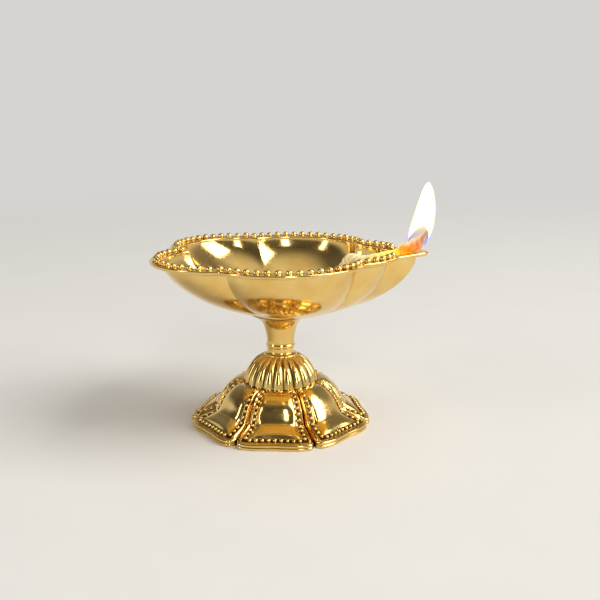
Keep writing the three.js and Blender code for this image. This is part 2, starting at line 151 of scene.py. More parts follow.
def signed_volume(points, triangles):
    a, b, c = (points[triangles[:, k]] for k in range(3))
    return float(np.einsum("ij,ij->i", a, np.cross(b, c)).sum()) / 6


def closed_grid(grid, wrap_rows=False):
    """Points, quads and triangles of a rows x columns x 3 grid, closed round its columns.

    Without wrap_rows the first and last rows are closed by a fan to the middle of each.
    """
    rows, columns, _ = grid.shape
    points = grid.reshape(-1, 3)
    quads = grid_faces(rows, columns, wrap_rows)
    triangles = np.zeros((0, 3), int)
    if not wrap_rows:
        first = np.arange(columns)
        last = first + (rows - 1) * columns
        bottom, top = len(points), len(points) + 1
        points = np.vstack([points, grid[0].mean(0), grid[-1].mean(0)])
        fans = [np.stack([np.full(columns, bottom), np.roll(first, -1), first], -1),
                np.stack([np.full(columns, top), last, np.roll(last, -1)], -1)]
        triangles = np.vstack(fans)
    all_triangles = np.vstack([quads[:, [0, 1, 2]], quads[:, [0, 2, 3]], triangles])
    if signed_volume(points, all_triangles) < 0:
        quads, triangles = quads[:, ::-1], triangles[:, ::-1]
    return points, quads, triangles


def add_mesh(name, parts, material, attributes=None, sharp_degrees=50.0):
    """A mesh object from closed parts, each of points in millimetres, quads and triangles."""
    points, faces, start = [], [], 0
    for part_points, quads, triangles in parts:
        points.append(part_points)
        faces += (quads + start).tolist() + (triangles + start).tolist()
        start += len(part_points)
    mesh = bpy.data.meshes.new(name)
    mesh.from_pydata(place(np.vstack(points)).tolist(), [], faces)
    for attribute, values in (attributes or {}).items():
        layer = mesh.attributes.new(attribute, "FLOAT", "POINT")
        layer.data.foreach_set("value", np.asarray(values, np.float32))
    mesh.shade_smooth()
    mesh.set_sharp_from_angle(angle=np.radians(sharp_degrees))
    mesh.materials.append(material)
    piece = bpy.data.objects.new(name, mesh)
    bpy.context.scene.collection.objects.link(piece)
    return piece


def dress(piece, body, slot, *nodes):
    """The piece rides on its body and stands for the CAD nodes named. Its slot is not used."""
    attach(piece, body)
    if nodes:
        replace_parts(piece, *nodes)
    return piece


# Bowl

def lobe_reach(start, end, crest, share):
    """Chord between two notches plus a bulge: a softened sine of the share, to a power below one."""
    sine = np.sin(np.pi * share)
    soft = (sine**2 + NOTCH_SOFTNESS**2) ** (LOBE_ROUNDNESS / 2) - NOTCH_SOFTNESS**LOBE_ROUNDNESS
    full = (1 + NOTCH_SOFTNESS**2) ** (LOBE_ROUNDNESS / 2) - NOTCH_SOFTNESS**LOBE_ROUNDNESS
    return start + (end - start) * share + (crest - (start + end) / 2) * soft / full


def bead_line(spout_steps, small_steps, lobe_steps):
    """Bearings in radians and reaches of the bead line, from the spout's tip round to it again.

    Each lobe's stations crowd towards its notches, as a cosine does. The spout is a round tip and two
    straight sides.
    """
    turn = np.radians(np.linspace(0, SPOUT_TIP_ANGLE, spout_steps))
    tip = np.stack([SPOUT_REACH - SPOUT_TIP_RADIUS * (1 - np.cos(turn)), SPOUT_TIP_RADIUS * np.sin(turn)], -1)
    root_angle = np.radians(SPOUT_ROOT)
    root = SPOUT_ROOT_REACH * np.array([np.cos(root_angle), np.sin(root_angle)])
    side = tip[-1] + np.linspace(0, 1, spout_steps + 1)[1:, None] * (root - tip[-1])
    spout = np.vstack([tip, side])
    angles = [np.arctan2(spout[:, 1], spout[:, 0])]
    reaches = [np.hypot(spout[:, 0], spout[:, 1])]
    lobes = ((SPOUT_ROOT, SMALL_NOTCH, SPOUT_ROOT_REACH, SMALL_NOTCH_REACH, SMALL_CREST, small_steps),
             (SMALL_NOTCH, SIDE_NOTCH, SMALL_NOTCH_REACH, SIDE_NOTCH_REACH, SIDE_CREST, lobe_steps),
             (SIDE_NOTCH, BACK_NOTCH, SIDE_NOTCH_REACH, BACK_NOTCH_REACH, BACK_CREST, lobe_steps))
    for low, high, start, end, crest, steps in lobes:
        share = (1 - np.cos(np.linspace(0, np.pi, steps + 1)[1:])) / 2
        angles.append(np.radians(low + (high - low) * share))
        reaches.append(lobe_reach(start, end, crest, share))
    angles, reaches = np.concatenate(angles), np.concatenate(reaches)
    return np.concatenate([angles, -angles[-2:0:-1]]), np.concatenate([reaches, reaches[-2:0:-1]])


def lifted(x, y, z):
    """The rim rises towards the spout's tip, as the square of the way there."""
    return np.stack([x, y, z + SPOUT_LIFT * (np.maximum(x, 0) / SPOUT_REACH) ** 2], -1)


def wall_height(angles, share, top, bottom):
    """Height of a wall: a superellipse from bottom to top, with an exponent of its own towards the spout."""
    steepness = WALL_STEEPNESS + (SPOUT_STEEPNESS - WALL_STEEPNESS) * np.clip(np.cos(angles), 0, 1) ** 4
    return top - (top - bottom) * (1 - share**WALL_FULLNESS) ** steepness


def wall(angles, reaches, share, inset, top, bottom):
    """Points of a wall of the bowl, at shares that broadcast with the bearings.

    Share 0 is the bowl's deepest point and 1 its rim, and the lobes grow with the share squared.
    """
    radius = share * ((BOWL_MEAN_RADIUS - inset) * (1 - share) + (reaches - inset) * share)
    shift = DEEPEST_SHIFT * (1 - share**2)
    z = np.broadcast_to(wall_height(angles, share, top, bottom), radius.shape)
    return lifted(radius * np.cos(angles) + shift, radius * np.sin(angles), z)


def beaded_share(angles):
    """0 along the spout, where the flange is plain, and 1 from the spout's roots round the back."""
    return np.clip((np.abs(np.degrees(angles)) - 0.85 * SPOUT_ROOT) / (0.15 * SPOUT_ROOT), 0, 1)


FLANGE_BOTTOM = RIM - FLANGE_THICKNESS
BOWL_BOTTOM = RIM - BOWL_DEPTH
OUTER_WALL = (WALL_INSET, FLANGE_BOTTOM, BOWL_BOTTOM)
INNER_WALL = (WALL_INSET + BOWL_WALL, RIM - EDGE_ROUND, BOWL_BOTTOM + BOWL_WALL)

# Flange section: distance out from the bead line, height over the rim, and depth that the bead groove adds
FLANGE_SECTION = (
    (-1.45, -1.12, 0), (-1.2, -1.1, 0), (0.6, -1.1, 0), (1.6, -1.08, 0), (1.95, -0.92, 0), (2.1, -0.6, 0),
    (2.07, -0.25, 0), (1.92, -0.04, 0), (1.7, 0.03, 0), (1.45, 0, 0), (1.22, 0, -0.1), (1.0, 0, -0.17),
    (0, 0, -0.2), (-0.95, 0, -0.17), (-1.15, 0, -0.1), (-1.35, 0, 0), (-1.65, 0.03, 0), (-2.1, -0.01, 0),
    (-2.4, -0.12, 0), (-2.56, -0.3, 0),
)


def bowl_grid(angles, reaches):
    """The bowl's skin from the middle of its underside, out over the flange and in to its inside's middle.

    The walls follow the function wall, and the flange is its section offset from the bead line.
    """
    shares = np.sin(np.linspace(0.02, 1, 56) * np.pi / 2)
    outer = wall(angles, reaches, shares[:-1, None], *OUTER_WALL)
    inner = wall(angles, reaches, shares[::-1, None], *INNER_WALL)
    section = spline(FLANGE_SECTION, 3)
    radius = reaches + section[:, :1]
    height = RIM + section[:, 1:2] + section[:, 2:] * beaded_share(angles)
    flange = lifted(radius * np.cos(angles), radius * np.sin(angles), height)
    return np.concatenate([outer, flange, inner]), len(outer), len(flange)


def bowl_patina_and_shade(grid, outer_rows, flange_rows, angles):
    """How dark each point is, as patina where the polisher can't reach and as painted shade: the bead groove,
    and the corner under the flange.
    """
    rows = np.zeros(len(grid))
    section = spline(FLANGE_SECTION, 3)
    # Patina with a light painted shade in the bead groove
    rows[outer_rows:outer_rows + flange_rows] = 0.25 * np.clip(-section[:, 2] / 0.2, 0, 1)
    # Painted shade in the corner under the flange and along its underside edge
    under = np.linspace(0, 1, 6) ** 2
    rows[outer_rows - 6:outer_rows] = 0.7 * under
    rows[outer_rows:outer_rows + 3] = 0.6
    least_at_spout = 0.25
    return rows[:, None] * np.maximum(beaded_share(angles), least_at_spout)


def make_bowl(material):
    angles, reaches = bead_line(22, 34, 56)
    grid, outer_rows, flange_rows = bowl_grid(angles, reaches)
    patina_and_shade = bowl_patina_and_shade(grid, outer_rows, flange_rows, angles).reshape(-1)
    seat_top = BOWL_BOTTOM - SEAT_DROP + SEAT_THICKNESS
    seat_bottom = BOWL_BOTTOM - SEAT_DROP
    seat = turned([(SEAT_RADIUS - 0.6, seat_top + 0.3), (SEAT_RADIUS, seat_top),
                   (SEAT_RADIUS, seat_bottom + 0.15), (SEAT_RADIUS - 0.15, seat_bottom),
                   (1, seat_bottom)], 96)
    parts = [closed_grid(grid), closed_grid(seat)]
    values = np.concatenate([patina_and_shade, [0, 0], np.zeros(seat.shape[0] * seat.shape[1] + 2)])
    piece = add_mesh("lobed_bowl", parts, material, {"patina_and_shade": values})
    return dress(piece, "lamp_top", "polished_brass", "bowl")


def turned(profile, columns):
    """A profile of (radius, height) rows turned about the stem's axis."""
    profile = np.asarray(profile, float)
    turn = np.linspace(0, 2 * np.pi, columns, endpoint=False)
    radius, height = profile[:, :1], profile[:, 1:2]
    z = np.broadcast_to(height, (len(profile), columns))
    return np.stack([radius * np.cos(turn), radius * np.sin(turn), z], -1)


def ball(rings, sides):
    """Unit sphere as a closed grid: latitudes by longitudes, poles closed by fans."""
    latitude = np.linspace(-np.pi / 2, np.pi / 2, rings + 2)[1:-1, None]
    turn = np.linspace(0, 2 * np.pi, sides, endpoint=False)
    grid = np.stack([np.cos(latitude) * np.cos(turn), np.cos(latitude) * np.sin(turn),
                     np.broadcast_to(np.sin(latitude), (rings, sides))], -1)
    points, quads, triangles = closed_grid(grid)
    points[-2:] = [[0, 0, -1], [0, 0, 1]]
    return points, quads, triangles


def scattered(shape, centres, radii):
    """The same closed shape at each centre with its own radius, as one set of points and faces."""
    points, quads, triangles = shape
    count, size = len(centres), len(points)
    spread = points[None] * np.asarray(radii)[:, None, None] + centres[:, None]
    step = np.arange(count)[:, None, None] * size
    return spread.reshape(-1, 3), (quads[None] + step).reshape(-1, 4), (triangles[None] + step).reshape(-1, 3)


def make_rim_beads(material):
    """Balls at an even pitch along the bead line, from one root of the spout round the back to the other."""
    angles, reaches = bead_line(22, 34, 56)
    keep = np.abs(np.degrees(angles)) >= SPOUT_ROOT - 0.01
    angles, reaches = angles[keep], reaches[keep]
    line = lifted(reaches * np.cos(angles), reaches * np.sin(angles), np.full(len(angles), RIM))
    at = along_line(line, RIM_BEAD_PITCH)
    centres = np.stack([np.interp(at, np.arange(len(line)), line[:, k]) for k in range(3)], -1)
    sizes = RIM_BEAD * (1 + 0.05 * np.random.default_rng(5).uniform(-1, 1, len(centres)))
    centres[:, 2] += sizes - RIM_BEAD_SUNK
    piece = add_mesh("rim_beads", [scattered(ball(7, 12), centres, sizes)], material)
    return dress(piece, "lamp_top", "polished_brass")


# Stem and stud

def make_stem(material):
    top = BOWL_BOTTOM - SEAT_DROP
    outside = spline([(4.42, SEAM + 0.05), (4.6, SEAM + 0.3), (4.62, SEAM + 0.75), (4.42, SEAM + 1.25),
                      (4.33, SEAM + 2.0), (4.47, SEAM + 3.3), (4.79, SEAM + 5.05), (5.32, SEAM + 6.95),
                      (6.1, SEAM + 8.2), (7.02, SEAM + 9.2), (8.2, SEAM + 10.12), (8.9, SEAM + 10.5)], 5)
    hole_top = SEAM + STUD_IN_STEM + 0.3
    start = [(0.8, hole_top + 0.3), (HOLE_RADIUS - 0.2, hole_top), (HOLE_RADIUS, hole_top - 0.2),
             (HOLE_RADIUS, SEAM + 0.3), (HOLE_RADIUS + 0.3, SEAM), (4.2, SEAM)]
    end = [(SEAT_RADIUS, top - 0.12), (SEAT_RADIUS - 0.05, top), (1, top)]
    grid = turned(np.vstack([start, outside, end]), 128)
    # The hole, the bottom face at the seam and the top under the bowl's seat, darkened as patina and painted
    # shade
    patina_and_shade = np.zeros(grid.shape[:2])
    patina_and_shade[:7] = 1
    patina_and_shade[-5:] = 0.8
    values = np.concatenate([patina_and_shade.reshape(-1), [1, 0]])
    piece = add_mesh("turned_stem", [closed_grid(grid)], material, {"patina_and_shade": values})
    return dress(piece, "lamp_top", "polished_brass", "stem")


def make_stud(material):
    """Stud with a thread: the radius follows a V wave along the height less the turn's share of a pitch."""
    bottom, top = SEAM - STUD_IN_FOOT, SEAM + STUD_IN_STEM
    columns = 48
    heights = np.arange(bottom, top + 0.01, STUD_PITCH / 10)[:, None]
    turn = np.linspace(0, 2 * np.pi, columns, endpoint=False)
    phase = (heights / STUD_PITCH - turn / (2 * np.pi)) % 1
    wave = np.clip(1.25 * (1 - 2 * np.abs(phase - 0.5)) - 0.1, 0, 1)
    radius = STUD_ROOT + (STUD_CREST - STUD_ROOT) * wave
    chamfer = STUD_ROOT - 0.25 + np.minimum(heights - bottom, top - heights) * 1.2
    radius = np.minimum(radius, chamfer)
    z = np.broadcast_to(heights, radius.shape)
    grid = np.stack([radius * np.cos(turn), radius * np.sin(turn), z], -1)
    piece = add_mesh("m6_stud", [closed_grid(grid)], material, sharp_degrees=30)
    return dress(piece, "screw", "screw_brass", "threaded_stud")


# Foot

# Rows of the neck and dome: radius, height, and how much of the ribs' relief and of their tongues they carry
DOME_ROWS = (
    (4.2, SEAM - 0.1, 0, 0), (4.17, SEAM - 0.7, 0, 0), (4.2, SEAM - 1.35, 0, 0), (4.38, SEAM - 1.8, 0, 0),
    (4.72, SEAM - 2.06, 0, 0), (5.02, SEAM - 2.12, 0, 0), (5.2, SEAM - 2.28, 0, 0),
    (5.22, SEAM - 2.5, 0.05, 0), (5.42, SEAM - 2.72, 0.3, 0),
    (6.01, 21.12, 0.6, 0), (7.05, 20.38, 0.9, 0), (8.03, 19.6, 1, 0),
    (9.0, 18.54, 1, 0), (9.94, 17.18, 1, 0), (10.76, 15.64, 1, 0.1), (11.24, 14.31, 1, 0.4),
    (11.5, 13.5, 0.95, 0.8), (11.56, 13.05, 0.75, 1), (11.4, 12.78, 0.4, 1), (11.1, 12.8, 0, 0.8),
)
# Rows of a petal: radius, height, and how much of the pillow, the ridges and the lip's outline they carry
PETAL_ROWS = (
    (11.5, 12.95, 0, 0, 0), (12.6, 13.1, 0.25, 0.5, 0), (14.6, 12.42, 0.8, 0.9, 0.1),
    (16.74, 10.5, 1, 1, 0.2), (18.08, 8.7, 1, 1, 0.3), (18.95, 6.8, 1.1, 1, 0.4),
    (19.82, 4.82, 1.7, 1, 0.5), (20.7, 4.1, 1.8, 1, 0.6), (21.9, 3.62, 1.45, 1, 0.7),
    (23.0, 3.2, 1.15, 1, 0.82), (23.7, 2.93, 0.8, 1, 0.9), (24.15, 2.77, 0.25, 0.95, 0.94),
    (24.5, 2.62, 0, 0.9, 0.96), (25.3, 2.3, 0, 0.7, 1), (25.95, 1.95, 0, 0.35, 1), (26.25, 1.8, 0, 0.15, 1),
)
# Rows of the rolled lip and of the low plinth under it
LIP_ROWS = (
    (26.45, 1.9, 0, 0, 1), (26.85, 1.98, 0, 0, 1), (27.2, 1.78, 0, 0, 1), (27.36, 1.42, 0, 0, 1),
    (27.32, 1.1, 0, 0, 1), (27.18, 0.92, 0, 0, 1), (27.3, 0.78, 0, 0, 1), (27.4, 0.62, 0, 0, 1),
    (27.4, 0.2, 0, 0, 1), (27.3, 0.04, 0, 0, 1), (26.9, 0, 0, 0, 1),
)
# Rows of the hollow: radius and height, from its mouth up to the hub, round it and up the stud's hole
HOLLOW_ROWS = (
    (LIP_RADIUS - LIP_WIDTH + 0.3, 0), (LIP_RADIUS - LIP_WIDTH, 0.3), (23.4, 1.1), (21.2, 1.7), (19.0, 2.5),
    (17.6, 3.6), (16.5, 6.2), (15.9, 8.1), (15.2, 9.8), (13.4, 11.0), (11.2, 11.3), (10.1, 12.3), (9.2, 14.0),
    (8.0, 15.7), (6.6, 17.3), (5.5, 18.2), (HUB_RADIUS, 18.4), (HUB_RADIUS, HUB_BOTTOM + 0.2),
    (HUB_RADIUS - 0.2, HUB_BOTTOM), (HOLE_RADIUS + 0.3, HUB_BOTTOM), (HOLE_RADIUS, HUB_BOTTOM + 0.3),
    (HOLE_RADIUS, SEAM - 0.3), (HOLE_RADIUS + 0.3, SEAM), (4.1, SEAM),
)
RIB_DEPTH = 0.8
RIB_TONGUE = 0.7
PILLOW_RISE, PILLOW_STEP, PILLOW_SHARE = 0.5, 0.3, 0.64
BAND_SHARE, BAND_SINK = 0.78, 0.12
RIDGE_RISE, RIDGE_SHARE, RIDGE_HALF = 0.5, 0.905, 0.036
GROOVE_DEPTH, GROOVE_START = 0.7, 0.955
CORNER_RISE, CORNER_SHARE, NOTCH_DEPTH = 1.3, 0.8, 3.4
COLUMNS_PER_PETAL, COLUMN_CROWDING = 72, 1.5


def smooth(low, high, x):
    """0 up to low, 1 from high, with a smooth S between."""
    t = np.clip((x - low) / (high - low), 0, 1)
    return t * t * (3 - 2 * t)


def petal_columns():
    """Signed shares across the petals, crowded towards -1 and 1 in the grooves, and each column's turn."""
    even = np.tile(np.arange(COLUMNS_PER_PETAL) / COLUMNS_PER_PETAL * 2 - 1, PETALS)
    petal = np.repeat(np.arange(PETALS), COLUMNS_PER_PETAL)
    across = np.sign(even) * (1 - (1 - np.abs(even)) ** COLUMN_CROWDING)
    return across, np.radians(PETAL_BEARING) + (petal + across / 2) * 2 * np.pi / PETALS


def petal_relief(across, pillow, ridge):
    """Rise of a petal: a crowned pillow with a stepped edge, a sunken bead band, side ridges and a groove."""
    a = np.abs(across)
    crown = PILLOW_RISE * (1 - np.clip(a / PILLOW_SHARE, 0, 1) ** 3)
    pillow_rise = pillow * (crown + PILLOW_STEP * (1 - smooth(PILLOW_SHARE - 0.03, PILLOW_SHARE + 0.05, a)))
    band = -BAND_SINK * np.exp(-((a - BAND_SHARE) / 0.08) ** 2)
    crest = RIDGE_RISE * np.exp(-((a - RIDGE_SHARE) / RIDGE_HALF) ** 2)
    groove = -GROOVE_DEPTH * smooth(GROOVE_START, 1, a)
    return pillow_rise + ridge * (band + crest + groove)


def lip_outline(across):
    """How far the lip stands out past its middle: an ogee up to its round corners, cut in at the groove."""
    a = np.abs(across)
    rise = CORNER_RISE * np.sin(np.pi / 2 * np.minimum(1, a / CORNER_SHARE)) ** 2
    return rise - NOTCH_DEPTH * np.clip((a - CORNER_SHARE) / (1 - CORNER_SHARE), 0, 1) ** 3


def row_normals(rows):
    """Outward normals of a section's rows, square to the way from the row before to the row after."""
    way = np.gradient(rows[:, :2], axis=0)
    normal = np.stack([-way[:, 1], way[:, 0]], -1)
    return normal / np.linalg.norm(normal, axis=1, keepdims=True)


def petal_surface(across, turn, rows):
    """Points of the petals: each row moved along its normal by the relief and out by the lip's outline."""
    normal = row_normals(rows)
    relief = petal_relief(across, rows[:, 2:3], rows[:, 3:4])
    radius = rows[:, :1] + relief * normal[:, :1] + rows[:, 4:5] * lip_outline(across)
    height = rows[:, 1:2] + relief * normal[:, 1:2]
    return np.stack([radius * np.cos(turn), radius * np.sin(turn), height], -1)


def dome_surface(turn, rows):
    """Points of the ribbed dome: convex ribs with sharp valleys, whose ends hang down as round tongues."""
    wave = (turn - np.radians(PETAL_BEARING)) * PETALS * RIBS_PER_PETAL / (2 * np.pi)
    in_rib = 2 * np.abs(wave - np.round(wave))
    rib = 1 - in_rib**2
    normal = row_normals(rows)
    rise = RIB_DEPTH * rows[:, 2:3] * (rib - 0.55)
    radius = rows[:, :1] + rise * normal[:, :1]
    height = rows[:, 1:2] + rise * normal[:, 1:2] - RIB_TONGUE * rows[:, 3:4] * (rib - 0.5)
    # How deep in a valley between ribs each point lies; the foot darkens there as patina and painted shade
    valley = np.clip(in_rib, 0, 1) ** 2.4 * np.clip(rows[:, 2:3], 0, 1)
    return np.stack([radius * np.cos(turn), radius * np.sin(turn), height], -1), valley


def foot_patina_and_shade(across, dome_rows, valley, petal_rows, lip_rows):
    """How dark each point of the foot is, as patina and painted shade: most in valleys, bands and grooves,
    under the dome, behind the lip and in the hollow.
    """
    a = np.abs(across)
    # Painted shade under the dome's rim, behind the lip and where the petals tuck in; patina with painted
    # shade in bands and grooves
    under_dome = smooth(12.95, 12.8, dome_rows[:, 1:2]) * np.ones_like(a)
    radius = petal_rows[:, :1]
    side_band = np.exp(-((a - BAND_SHARE) / 0.085) ** 2) * petal_rows[:, 3:4]
    groove = 0.8 * smooth(0.965, 0.995, a) * np.ones_like(radius)
    low_band = smooth(24.2, 24.7, radius) * (1 - smooth(25.7, 26.1, radius)) * (1 - smooth(0.83, 0.88, a))
    behind_lip = 0.6 * np.exp(-((radius - 26.2) / 0.2) ** 2) * np.ones_like(a)
    tucked = smooth(12.3, 11.6, radius) * np.ones_like(a)
    petals = np.maximum.reduce([side_band, groove, low_band, behind_lip, tucked])
    # A painted shadow line along the plinth under the lip roll
    plinth_shadow_line = 0.6 * np.exp(-((lip_rows[:, 1:2] - 0.92) / 0.09) ** 2)
    lip = np.maximum(smooth(0.94, 0.99, a) * np.ones((len(lip_rows), 1)), plinth_shadow_line)
    # The hollow underneath, darkened as patina and painted shade
    hollow = np.full((len(HOLLOW_ROWS), len(a)), 0.75)
    hollow[-2:] = 0.3
    return np.concatenate([np.maximum(0.95 * valley, under_dome), petals, lip, hollow])


def make_foot(material):
    across, turn = petal_columns()
    dome_rows, petal_rows, lip_rows = spline(DOME_ROWS, 3), spline(PETAL_ROWS, 4), spline(LIP_ROWS, 2)
    dome, valley = dome_surface(turn, dome_rows)
    radius, height = np.asarray(HOLLOW_ROWS).T[:, :, None]
    hollow = np.stack([radius * np.cos(turn), radius * np.sin(turn), height * np.ones_like(turn)], -1)
    petals, lip = petal_surface(across, turn, petal_rows), petal_surface(across, turn, lip_rows)
    foot = closed_grid(np.concatenate([dome, petals, lip, hollow]), wrap_rows=True)
    patina_and_shade = foot_patina_and_shade(across, dome_rows, valley, petal_rows, lip_rows).reshape(-1)
    piece = add_mesh("petalled_foot", [foot], material, {"patina_and_shade": patina_and_shade})
    return dress(piece, "base", "polished_brass", "foot")


def bead_route():
    """One petal's U of beads, as shares across it and radii: down a side, round a corner, along and up."""
    corner = np.linspace(0, np.pi / 2, 9)[1:]
    corner_across, corner_radius, top_radius = 0.12, 1.3, 13.6
    side_radii = np.linspace(top_radius, BEAD_ROW_RADIUS - corner_radius, 60)
    down = np.stack([np.full(60, BAND_SHARE), side_radii], -1)
    bend = np.stack([BAND_SHARE - corner_across * (1 - np.cos(corner)),
                     BEAD_ROW_RADIUS - corner_radius * (1 - np.sin(corner))], -1)
    flat = np.stack([np.linspace(BAND_SHARE - corner_across, 0, 20)[1:], np.full(19, BEAD_ROW_RADIUS)], -1)
    half = np.vstack([down, bend, flat])
    return np.vstack([half, half[-2::-1] * [-1, 1]])


def make_foot_beads(material):
    """Small balls at an even pitch along each petal's U, half sunk in its band."""
    rows = spline(PETAL_ROWS, 12)
    route = bead_route()
    picked = np.stack([np.interp(route[:, 1], rows[:, 0], rows[:, k]) for k in range(5)], -1)
    normal = row_normals(rows)
    picked_normal = np.stack([np.interp(route[:, 1], rows[:, 0], normal[:, k]) for k in range(2)], -1)
    relief = petal_relief(route[:, 0], picked[:, 2], picked[:, 3]) + 0.35 * FOOT_BEAD
    radius = picked[:, 0] + relief * picked_normal[:, 0] + picked[:, 4] * lip_outline(route[:, 0])
    height = picked[:, 1] + relief * picked_normal[:, 1]
    turn = route[:, 0] * np.pi / PETALS
    line = np.stack([radius * np.cos(turn), radius * np.sin(turn), height], -1)
    at = along_line(line, FOOT_BEAD_PITCH)
    one = np.stack([np.interp(at, np.arange(len(line)), line[:, k]) for k in range(3)], -1)
    spin = np.radians(PETAL_BEARING) + np.arange(PETALS)[:, None] * 2 * np.pi / PETALS
    x = one[:, 0] * np.cos(spin) - one[:, 1] * np.sin(spin)
    y = one[:, 0] * np.sin(spin) + one[:, 1] * np.cos(spin)
    centres = np.stack([x, y, np.broadcast_to(one[:, 2], x.shape)], -1).reshape(-1, 3)
    sizes = FOOT_BEAD * (1 + 0.08 * np.random.default_rng(9).uniform(-1, 1, len(centres)))
    piece = add_mesh("petal_beads", [scattered(ball(6, 10), centres, sizes)], material)
    return dress(piece, "base", "polished_brass")


# Oil, wick and flame

def make_oil(material):
    """The oil: the inner wall up to its level, a short climb at its edge, then level to the middle.

    The shore's share of the way up the wall is found for each bearing by halving.
    """
    angles, reaches = bead_line(10, 16, 30)
    low, high = np.zeros(len(angles)), np.ones(len(angles))
    inset, top, bottom = INNER_WALL
    skin = (inset - OIL_GAP, top, bottom - OIL_GAP)
    for _ in range(26):
        middle = (low + high) / 2
        below = wall_height(angles, middle, *skin[1:]) < OIL_LEVEL + MENISCUS_RISE
        low, high = np.where(below, middle, low), np.where(below, high, middle)
    shore = np.linspace(0.03, 1, 26)[:, None] * low
    under = wall(angles, reaches, shore, *skin)
    centre = np.array([DEEPEST_SHIFT, 0.0])
    edge = under[-1]
    near_shore = [0.004, 0.01, 0.02, 0.035, 0.055, 0.08]
    inward = np.concatenate([near_shore, np.linspace(0.14, 0.96, 9)])[:, None]
    flat = edge[None, :, :2] * (1 - inward[..., None]) + centre * inward[..., None]
    level = (OIL_LEVEL + MENISCUS_RISE * np.exp(-inward / MENISCUS_REACH))[..., None]
    surface = np.concatenate([flat, np.broadcast_to(level, (len(inward), len(angles), 1))], -1)
    piece = add_mesh("oil_pool", [closed_grid(np.concatenate([under, surface]))], material)
    return dress(piece, "lamp_top", "lamp_oil", "oil")


# The wick's route: bearing from the spout, share of the way up the wall, and rise above the wall
WICK_ROUTE = (
    (50, 0.5, 2.79), (43, 0.68, 3.55), (40, 0.785, 4.05), (36.5, 0.865, 4.15), (29.5, 0.865, 4.15),
    (22, 0.88, 4.2), (14.5, 0.9, 4.7), (7.6, 0.915, 5.65), (3.2, 0.915, 6.9),
)
# Its end past the lip: ahead of the lip's edge, and above where the roll lies on it
WICK_END = ((-5.1, -0.35), (-3.3, 0.15), (-1.9, 0.55), (-0.9, 1.7), (0.1, 3.1), (2.0, 5.45))
LIP_GAP, END_RADIUS = 0.3, 1.2
STRAND_PITCH = 7.0
# Its radius by share of its length: full over the wall, and blunt at the lip with a thin strand on top
WICK_GIRTH = ((0, 1.15), (0.075, 1.55), (0.2, 1.65), (0.48, 1.6), (0.68, 1.35), (0.78, 1.45), (0.84, 1.7),
              (0.88, 1.65), (0.905, 1.1), (0.93, 0.6), (0.96, 0.45), (1, 0.3))


def wick_line(steps):
    """The wick's middle line, evenly spaced, the points' shares of its length, and the length."""
    bearing, share, rise = np.asarray(WICK_ROUTE, float).T
    angles, reaches = bead_line(40, 60, 80)
    half = slice(0, len(angles) // 2)
    angle = np.radians(bearing)
    reach = np.interp(angle, angles[half], reaches[half])
    on_wall = wall(angle, reach, share, *INNER_WALL)
    on_wall[:, 2] += rise
    ahead, over = np.asarray(WICK_END, float).T
    lip_top = RIM + SPOUT_LIFT
    end = np.stack([SPOUT_REACH + ahead, np.zeros(len(ahead)), lip_top + LIP_GAP + END_RADIUS + over], -1)
    line = spline(np.vstack([on_wall, end]), 16)
    run = np.concatenate([[0], np.cumsum(np.linalg.norm(np.diff(line, axis=0), axis=1))])
    wanted = np.linspace(0, run[-1], steps)
    return np.stack([np.interp(wanted, run, line[:, k]) for k in range(3)], -1), wanted / run[-1], run[-1]


def frames_along(line):
    """For each point of a line: the way along, and two ways across it that don't flip."""
    along = np.gradient(line, axis=0)
    along /= np.linalg.norm(along, axis=1, keepdims=True)
    side = np.cross(along, [0.0, 0.0, 1.0])
    side /= np.linalg.norm(side, axis=1, keepdims=True)
    return along, side, np.cross(side, along)


def make_wick(material):
    """Cotton roll: three soft strands twisted round the line, with fine seeded fibres on the surface."""
    steps, sides = 420, 72
    line, share, length = wick_line(steps)
    along, side, over = frames_along(line)
    turn = np.linspace(0, 2 * np.pi, sides, endpoint=False)
    girth = np.interp(share, *np.transpose(WICK_GIRTH))
    girth *= np.sqrt(np.clip(share / 0.012, 0.05, 1)) * np.sqrt(np.clip((1 - share) / 0.012, 0.05, 1))
    twist = turn[None] - share[:, None] * length / STRAND_PITCH * 2 * np.pi
    strand = np.abs(np.cos(1.5 * twist)) ** 0.7
    strands = 0.9 + (0.12 + 0.2 * smooth(0.8, 0.9, share))[:, None] * strand
    random = np.random.default_rng(21)
    waves = ((0.02, 7, 2.1), (0.016, 13, -3.3), (0.014, 19, 5.2), (0.012, 29, -8.0))
    fluff = sum(amount * np.sin(count * twist + wave * share[:, None] * length + random.uniform(0, 6.28))
                for amount, count, wave in waves)
    fluff = fluff + 0.012 * random.normal(size=fluff.shape)
    char = smooth(0.86, 0.95, share)[:, None]
    radius = girth[:, None] * (strands + fluff * (1 + 2.5 * char))
    ring = side[:, None] * np.cos(turn)[None, :, None] + over[:, None] * np.sin(turn)[None, :, None]
    grid = line[:, None] + ring * radius[..., None]
    # upward is 0 under the roll and 1 on top; with strand it feeds the material's painted top light and the
    # painted shade in the strands' grooves
    upward = np.broadcast_to((1 + np.sin(turn)) / 2, radius.shape)
    values = {"along": np.concatenate([np.repeat(share, sides), [0, 1]]),
              "strand": np.concatenate([strand.reshape(-1), [1, 1]]),
              "upward": np.concatenate([upward.reshape(-1), [0, 1]])}
    piece = add_mesh("cotton_wick", [closed_grid(grid)], material, values, sharp_degrees=180)
    return dress(piece, "burning_wick", "cotton", "wick")


